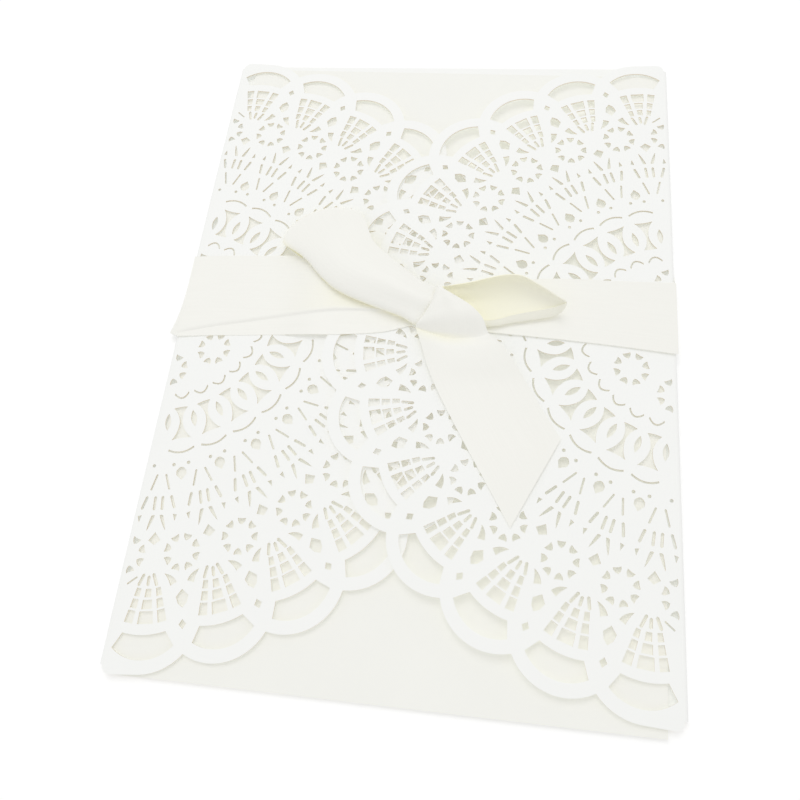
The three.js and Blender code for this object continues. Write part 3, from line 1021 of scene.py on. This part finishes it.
@dataclass
class SatinRibbon:
    """The ribbon round the card and its bow: one length of satin, drawn as the strips it forms."""

    card: GatefoldCard
    width: float = RIBBON_WIDTH
    thickness: float = 0.26
    under_gap: float = 0.02
    wrap_centre: float = 64.1
    wrap_height: float = 1.6
    wrap_radius: float = 1.45
    wrap_reach: float = 1.06
    wrap_steps: int = 8
    wrap_handles: Point = (0.3, 0.66)
    under_edges: Point = (-3.0, 19.0)
    under_places: tuple[float, ...] = (-45.0, -20.0, 0.0, 20.0, 45.0)
    drawn_from: Place = CAMERA_PLACE

    def settled(self, sections: Sequence[Section]) -> list[Section]:
        """Sections drawn over the straight flap, lowered with the bent one along the camera's lines."""
        eye = Vector(self.drawn_from)
        return [
            tuple(eye + (p - eye) * (1 + self.card.drop(p.x) / (eye.z - p.z)) for p in section)
            for section in sections
        ]

    def resting(self, rows: Sequence[tuple[float, float, float, float]]) -> list[Section]:
        """Sections on the right flap's front, from rows of x, lower edge, upper edge and lift."""
        return self.settled(
            [crowned(self.over(x, near, lift), self.over(x, far, lift)) for x, near, far, lift in rows]
        )

    def over(self, x: float, y: float, lift: float) -> Place:
        """A place above the right flap's front."""
        return x, y, self.card.front(x, y) + lift

    def band(self) -> Strip:
        """The part that runs round the card, from below the knot and back to it."""
        left = [
            (8.0, 1.5, 8.0, 0.45),
            (-1.4, -1.0, 9.0, 0.5),
            (-9.4, -3.5, 12.0, 0.45),
            (-20.9, -4.9, 15.6, 0.35),
            (-28.0, -5.3, 17.1, 0.2),
        ]
        lower = [(-37.0, 3.15, -4.2, 19.7), (-46.8, 3.0, -4.75, 19.4), (-56.4, 2.95, -5.28, 19.05)]
        sections = self.resting(left)
        for x, z, near, far in lower:
            sections.append(crowned((x, near, z), (x, far, z)))
        sections.extend(self.wrap(-1, (-5.9, 18.5), 2.2))
        low = self.thickness / 2 + self.under_gap
        near, far = self.under_edges
        sections.extend(crowned((x, near, low), (x, far, low)) for x in self.under_places)
        sections.extend(reversed(self.wrap(1, (-4.4, 15.6), 0.0)))
        right = [
            (51.0, -3.3, 15.3, 0.42),
            (37.5, -2.5, 15.1, 0.42),
            (28.5, -2.1, 14.3, 0.45),
            (19.9, -1.8, 12.0, 0.5),
            (12.0, -1.0, 9.5, 0.5),
            (3.0, 1.5, 8.0, 0.3),
        ]
        sections.extend(self.resting(right))
        return Strip(sections, 260, 33, self.band_gather, self.band_painted_shade, self.band_crease)

    def wrap(self, side: int, top: Point, flare: float) -> list[Section]:
        """The turn round a fold of the card.

        Args:
            side: -1 for the left fold, 1 for the right one.
            top: lower and upper edge where it begins, on the front.
            flare: how far its lower corner stands off the fold.

        Returns:
            Sections from front to back.
        """
        sections = []
        for i in range(self.wrap_steps + 1):
            share = i / self.wrap_steps
            turn = math.pi * share
            z = self.wrap_height + self.wrap_radius * math.cos(turn)
            edges = []
            for front, back, loose in zip(top, self.under_edges, (flare, 0.0)):
                x = self.wrap_centre + (self.wrap_reach + loose * math.sin(turn) ** 2) * math.sin(turn)
                edges.append(Vector((side * x, front + (back - front) * smooth_share(share, 0, 1), z)))
            near, far = edges
            handles = [near.lerp(far, place) for place in self.wrap_handles]
            for handle in handles:
                handle.x = side * (self.wrap_centre + self.wrap_reach * math.sin(turn))
            sections.append((near, *handles, far))
        return sections

    def band_crease(self, along: float) -> float:
        """Place across the band of the long crease from the knot to the left fold's lower corner."""
        return 0.46 - 0.43 * min(max((along - 0.03) / 0.2, 0.0), 1.0)

    def band_painted_shade(self, across: float, along: float) -> float:
        """Painted yellowish shade on the band below the left loop's shadow and beside the knot."""
        above = smooth_share(across - self.band_crease(along), 0.0, 0.06)
        return 0.4 * above * (1 - smooth_share(along, 0.06, 0.16)) * (1 - smooth_share(across, 0.5, 0.9))

    def band_gather(self, across: float, along: float) -> float:
        """The long crease on the left and the small gathers beside the knot."""
        left = smooth_share(along, 0.0, 0.03) * (1 - smooth_share(along, 0.2, 0.25))
        pleat = -0.2 * left if across < self.band_crease(along) else 0.0
        near_knot = 1 - smooth_share(min(along, 1 - along), 0.02, 0.11)
        return pleat + 0.18 * near_knot * math.sin(across * 17 + 1.2) * math.sin(across * math.pi)

    def left_loop(self) -> Strip:
        """The flattened loop on the left: out over the band, round its end, and back beneath."""
        top = [
            curved((5.0, 1.5, 6.9), (5.0, 3.0, 8.6), (5.5, 6.5, 9.3), (6.0, 8.6, 7.6)),
            curved((0.4, -1.6, 7.0), (0.2, -1.2, 9.2), (2.0, 7.5, 11.2), (3.9, 8.9, 8.2)),
            curved((-4.5, 0.6, 7.2), (-5.0, 0.2, 9.8), (-1.8, 8.8, 12.4), (0.0, 10.2, 8.6)),
            curved((-12.0, 3.1, 7.5), (-12.5, 2.3, 10.4), (-8.6, 11.8, 13.2), (-5.7, 14.4, 9.0)),
            curved((-20.3, 6.3, 7.8), (-21.0, 5.7, 10.6), (-15.4, 14.0, 13.0), (-10.0, 17.6, 9.3)),
            curved((-25.6, 9.9, 7.9), (-26.4, 9.4, 10.6), (-20.5, 17.6, 12.4), (-13.9, 21.6, 9.2)),
            curved((-32.0, 16.4, 8.0), (-32.7, 16.1, 10.2), (-25.0, 24.5, 11.4), (-17.2, 28.5, 8.9)),
            curved((-37.7, 20.0, 8.0), (-37.6, 22.2, 9.3), (-27.4, 30.4, 9.9), (-20.0, 31.2, 8.4)),
        ]
        end = [
            curved((-38.9, 21.4, 7.0), (-39.8, 27.0, 7.8), (-29.6, 34.8, 8.2), (-20.6, 32.2, 7.3)),
            curved((-38.0, 20.8, 6.0), (-38.8, 26.2, 6.2), (-28.8, 33.8, 6.3), (-20.2, 31.6, 6.1)),
        ]
        back = [
            curved((-33.0, 17.0, 5.9), (-31.0, 19.0, 5.9), (-24.5, 26.5, 6.1), (-18.6, 28.5, 6.6)),
            curved((-26.3, 10.4, 6.75), (-24.5, 12.5, 6.7), (-18.0, 20.0, 6.8), (-14.2, 21.6, 6.9)),
            curved((-20.4, 6.9, 6.9), (-18.5, 9.0, 6.9), (-13.0, 15.5, 7.0), (-10.4, 17.0, 7.1)),
            curved((-11.6, 3.4, 6.8), (-10.5, 6.0, 6.9), (-8.5, 10.5, 7.0), (-6.6, 13.0, 7.0)),
            curved((-4.0, 0.6, 6.6), (-3.5, 3.0, 6.7), (-2.5, 6.5, 6.9), (-1.5, 9.0, 6.9)),
            curved((4.0, 1.0, 6.3), (4.0, 3.0, 6.4), (4.5, 5.5, 6.6), (5.0, 7.5, 6.6)),
        ]
        return Strip(self.settled([*top, *end, *back]), 150, 28, self.left_gather, self.left_painted_shade)

    def left_painted_shade(self, across: float, along: float) -> float:
        """Painted yellowish shade on the left loop along its rolled lower edge and beneath."""
        return max(0.55 * (1 - smooth_share(across, 0.0, 0.16)), smooth_share(along, 0.5, 0.6))

    def left_gather(self, across: float, along: float) -> float:
        """Soft gathers where the left loop leaves the knot."""
        near_knot = 1 - smooth_share(along, 0.08, 0.34)
        return 0.28 * near_knot * math.sin(across * 13 + 0.4) * math.sin(across * math.pi)

    def right_loop(self) -> Strip:
        """The loop on the right, standing open: out along its raised wall and back along its low one."""
        sections = [
            curved((5.0, 2.0, 7.0), (5.0, 4.0, 6.9), (4.6, 7.2, 7.4), (4.3, 8.4, 9.0)),
            curved((12.0, 1.0, 6.5), (12.4, 4.0, 6.2), (12.8, 9.2, 7.0), (12.4, 9.2, 10.6)),
            curved((18.5, 0.9, 6.3), (19.4, 4.6, 5.9), (20.6, 11.0, 6.8), (20.3, 10.9, 11.7)),
            curved((24.6, 2.6, 6.1), (25.4, 6.0, 5.8), (26.0, 11.6, 7.0), (25.3, 11.0, 12.0)),
            curved((29.8, 3.4, 6.1), (30.6, 5.6, 6.0), (31.2, 9.8, 7.4), (29.9, 9.0, 11.4)),
            curved((33.4, 4.1, 6.3), (34.2, 5.0, 6.5), (35.2, 7.4, 7.9), (34.6, 6.4, 10.6)),
            curved((35.4, 4.4, 6.5), (36.2, 4.6, 7.1), (37.2, 5.6, 8.4), (36.9, 5.1, 10.0)),
            curved((33.0, 7.5, 5.2), (35.8, 3.0, 5.0), (36.6, 4.0, 6.4), (35.7, 5.1, 8.3)),
            curved((30.5, 9.0, 5.0), (32.6, 0.9, 4.7), (33.0, 2.6, 5.4), (32.7, 4.5, 7.3)),
            curved((23.0, 9.0, 5.2), (24.6, -1.0, 4.9), (25.0, 0.7, 5.4), (24.8, 2.7, 6.9)),
            curved((16.0, 7.5, 5.7), (17.5, -2.4, 5.4), (18.0, -1.2, 6.0), (18.0, 0.6, 6.9)),
            curved((8.0, 6.0, 6.5), (9.5, 0.0, 6.3), (10.0, -0.6, 7.4), (10.5, 1.2, 7.6)),
        ]
        return Strip(self.settled(sections), 140, 28, self.right_gather, self.right_painted_shade)

    def right_painted_shade(self, across: float, along: float) -> float:
        """Painted yellowish shade inside the right loop, most of all where it comes from the knot."""
        return 0.95 - 0.55 * smooth_share(along, 0.05, 0.5)

    def right_gather(self, across: float, along: float) -> float:
        """Soft gathers where the right loop leaves the knot."""
        near_knot = 1 - smooth_share(along, 0.04, 0.2)
        return 0.2 * near_knot * math.sin(across * 15 + 1.0) * math.sin(across * math.pi)

    def tail(self) -> Strip:
        """The strip that comes over the knot and runs down to its slanted end."""
        sections = [
            curved((4.6, 9.4, 7.0), (5.0, 9.6, 7.4), (6.4, 9.0, 7.4), (7.0, 8.8, 7.0)),
            curved((4.2, 8.0, 9.5), (4.6, 8.3, 10.0), (5.6, 7.9, 10.3), (6.0, 7.4, 9.9)),
            curved((3.4, 3.9, 9.6), (4.6, 4.8, 11.4), (8.2, 5.6, 12.0), (9.2, 5.3, 10.6)),
            curved((1.4, -0.2, 9.0), (3.8, 1.4, 11.0), (10.6, 3.5, 11.8), (13.4, 2.6, 10.7)),
            curved((0.0, -1.8, 8.3), (3.6, -1.2, 10.2), (12.6, -0.4, 10.9), (16.4, 0.0, 9.6)),
            curved((-0.3, -2.4, 7.3), (4.6, -4.0, 6.8), (12.0, -5.6, 7.0), (17.9, -2.8, 7.7)),
            curved((-0.1, -3.0, 7.2), (5.0, -5.0, 7.0), (12.6, -6.6, 7.2), (18.9, -3.8, 7.4)),
            curved((1.0, -5.6, 6.9), (6.4, -7.4, 7.6), (14.6, -8.0, 7.7), (20.8, -5.2, 7.0)),
            curved((2.2, -8.8, 6.6), (8.2, -10.2, 7.5), (16.4, -9.8, 7.5), (22.6, -7.2, 6.5)),
            curved((3.4, -12.2, 6.25), (10.0, -13.0, 7.1), (17.6, -12.0, 7.0), (24.4, -9.6, 5.95)),
        ]
        flat = [
            (6.6, -18.8, 27.9, -14.7, 0.8, 0.6),
            (12.8, -29.4, 31.9, -21.2, 0.5, 0.4),
            (19.6, -40.4, 34.9, -25.7, 0.4, 0.3),
            (26.0, -50.8, 36.9, -28.8, 0.36, 0.2),
        ]
        for x, y, far_x, far_y, lift, crown in flat:
            sections.append(crowned(self.over(x, y, lift), self.over(far_x, far_y, lift), crown))
        return Strip(self.settled(sections), 130, 28, self.tail_gather, self.tail_painted_shade)

    def tail_painted_shade(self, across: float, along: float) -> float:
        """Painted yellowish shade in the crease below the knot."""
        crease = smooth_share(along, 0.36, 0.385) * (1 - smooth_share(along, 0.45, 0.56))
        return 0.5 * crease * (1 - smooth_share(across, 0.4, 0.95))

    def tail_gather(self, across: float, along: float) -> float:
        """Soft gathers where the strip is pinched over the knot."""
        pinched = smooth_share(along, 0.08, 0.2) * (1 - smooth_share(along, 0.4, 0.62))
        return 0.16 * pinched * math.sin(across * 14 + 2.0) * math.sin(across * math.pi)

    def build(self, material: bpy.types.Material) -> tuple[bpy.types.Object, float]:
        """Makes the ribbon.

        Args:
            material: its finish.

        Returns:
            The piece, and the length of all its strips in millimetres.
        """
        points: list[Vector] = []
        faces: list[tuple[int, ...]] = []
        chart: list[Point] = []
        painted_shade: list[float] = []
        length = 0.0
        for strip in (self.band(), self.left_loop(), self.right_loop(), self.tail()):
            rows = strip.grid()
            middle = strip.across // 2
            runs = [0.0]
            for before, after in zip(rows, rows[1:]):
                runs.append(runs[-1] + (after[middle] - before[middle]).length)
            start = len(points)
            wide, long = strip.across + 1, strip.along + 1
            for level in (0.5, -0.5):
                for i, row in enumerate(rows):
                    for j, point in enumerate(row):
                        points.append((point + strip.normal(rows, i, j) * (level * self.thickness)) * MM)
                        across = strip.column(j, i / strip.along)
                        chart.append((across * self.width * MM, (length + runs[i]) * MM))
                        painted_shade.append(strip.painted_shade_share(across, i / strip.along))
            faces.extend(self.shell(start, wide, long))
            length += runs[-1]
        mesh = bpy.data.meshes.new("satin_ribbon")
        mesh.from_pydata(points, [], faces)
        uv = mesh.uv_layers.new(name="ribbon")
        for loop in mesh.loops:
            uv.data[loop.index].uv = chart[loop.vertex_index]
        # painted shade: the share of the yellowish shade colour that the satin's finish mixes in
        mesh.attributes.new("painted_shade", "FLOAT", "POINT").data.foreach_set("value", painted_shade)
        mesh.materials.append(material)
        mesh.shade_smooth()
        mesh.set_sharp_from_angle(angle=SHARP_FOLD)
        return added("satin_ribbon", mesh), length

    def shell(self, start: int, wide: int, long: int) -> list[tuple[int, ...]]:
        """Faces of a closed strip with an upper side, an under side and four edges."""
        layer = wide * long
        faces: list[tuple[int, ...]] = []
        for i in range(long - 1):
            for j in range(wide - 1):
                a = start + i * wide + j
                b, c, d = a + 1, a + wide + 1, a + wide
                faces.extend(((a, b, c, d), (a + layer, d + layer, c + layer, b + layer)))
        rim = [start + j for j in range(wide)]
        rim += [start + i * wide + wide - 1 for i in range(1, long)]
        rim += [start + (long - 1) * wide + j for j in range(wide - 2, -1, -1)]
        rim += [start + i * wide for i in range(long - 2, 0, -1)]
        for a, b in zip(rim, [*rim[1:], rim[0]]):
            faces.append((a, a + layer, b + layer, b))
        return faces


# Stage


@dataclass
class Studio:
    """Floor, light and camera."""

    camera_place: Place = CAMERA_PLACE
    look: Place = (-0.10592, 0.3618, -0.92622)
    up: Place = (-0.05355, 0.92803, 0.36863)
    focal_px: float = 725.2
    image_px: float = 800.0
    middle_px: Point = (435.4, 391.4)
    sensor: float = 36.0
    seen_from_to: Point = (0.01, 20.0)
    world_strength: float = 0.76
    floor_half: float = 1.5
    bounces: int = 8
    lamp_place: Place = (-0.15, 0.55, 1.1)
    lamp_size: float = 0.7
    lamp_power: float = 2.8

    def camera(self) -> bpy.types.Object:
        """Sets the camera at the photograph's angle."""
        lens = bpy.data.cameras.new("card_camera")
        lens.sensor_fit = "HORIZONTAL"
        lens.sensor_width = self.sensor
        lens.lens = self.focal_px / self.image_px * self.sensor
        lens.shift_x = (self.image_px / 2 - self.middle_px[0]) / self.image_px
        lens.shift_y = (self.middle_px[1] - self.image_px / 2) / self.image_px
        lens.clip_start, lens.clip_end = self.seen_from_to
        made = added("card_camera", lens)
        look = Vector(self.look).normalized()
        right = look.cross(Vector(self.up)).normalized()
        up = right.cross(look)
        turn = Matrix((right, up, -look)).transposed().to_4x4()
        made.matrix_world = Matrix.Translation(Vector(self.camera_place) * MM) @ turn
        bpy.context.scene.camera = made
        return made

    def lamp(self) -> bpy.types.Object:
        """Sets a soft square lamp that faces the card."""
        light = bpy.data.lights.new("key_lamp", "AREA")
        light.size = self.lamp_size
        light.energy = self.lamp_power
        made = added("key_lamp", light)
        made.location = self.lamp_place
        made.rotation_euler = (-Vector(self.lamp_place)).to_track_quat("-Z", "Y").to_euler()
        return made

    def world(self) -> None:
        """Lights the card evenly from all round; the camera sees the background white."""
        made = bpy.data.worlds.new("studio")
        bpy.context.scene.world = made
        made.use_nodes = True
        graph = Graph(made.node_tree)
        seen = graph.node("ShaderNodeLightPath", output="Is Camera Ray")
        lit = graph.node("ShaderNodeBackground", {}, {"Color": WHITE, "Strength": self.world_strength})
        plain = graph.node("ShaderNodeBackground", {}, {"Color": WHITE, "Strength": 1.0})
        mixed = graph.node("ShaderNodeMixShader", {}, {0: seen, 1: lit, 2: plain})
        graph.node("ShaderNodeOutputWorld", {}, {"Surface": mixed})

    def floor(self) -> bpy.types.Object:
        """Lays the floor under the card."""
        mesh = bpy.data.meshes.new("floor")
        half = self.floor_half
        corners = [(-half, -half, 0), (half, -half, 0), (half, half, 0), (-half, half, 0)]
        mesh.from_pydata(corners, [], [(0, 1, 2, 3)])
        mesh.materials.append(PaleFloor().material())
        made = added("floor", mesh)
        return made

    def build(self) -> None:
        """Sets the whole stage."""
        bpy.context.scene.view_settings.view_transform = "Standard"
        bpy.context.scene.cycles.diffuse_bounces = self.bounces
        self.camera()
        self.world()
        self.lamp()
        self.floor()


# Scene


def main() -> None:
    """Builds the card's pieces in order and reports each one."""
    logging.basicConfig(level=logging.INFO, format="%(name)s: %(message)s", stream=sys.stdout)
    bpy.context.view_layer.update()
    Studio().build()

    # second colour of each sheet: cut edges, laser scorch darkened further as painted shade of the shadowed
    # walls
    card_finish = CardStock("white_card", (0.925, 0.93, 0.91), (0.80, 0.74, 0.64)).material()
    insert_finish = CardStock("insert_paper", (0.91, 0.91, 0.865), (0.86, 0.83, 0.76), mottle=0.03).material()
    # the satin's second colour is painted yellowish shade for its loops, folds and creases
    satin_finish = SatinWeave("ivory_satin", (0.935, 0.93, 0.88), (0.93, 0.91, 0.73)).material()

    card = GatefoldCard()
    sheet = card.build(card_finish)
    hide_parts(Node.CARD.value)
    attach(sheet, "root")
    LOG.info("%s: %d faces", sheet.name, len(sheet.data.polygons))

    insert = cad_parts[Node.INSERT.value]
    for place in insert.material_slots:
        place.material = insert_finish
    LOG.info("%s: new finish", insert.name)

    ribbon = SatinRibbon(card)
    strip, length = ribbon.build(satin_finish)
    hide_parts(Node.RIBBON.value)
    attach(strip, "root")
    LOG.info("%s: %d faces, %.0f mm long", strip.name, len(strip.data.polygons), length)


if __name__ == "__main__":
    main()
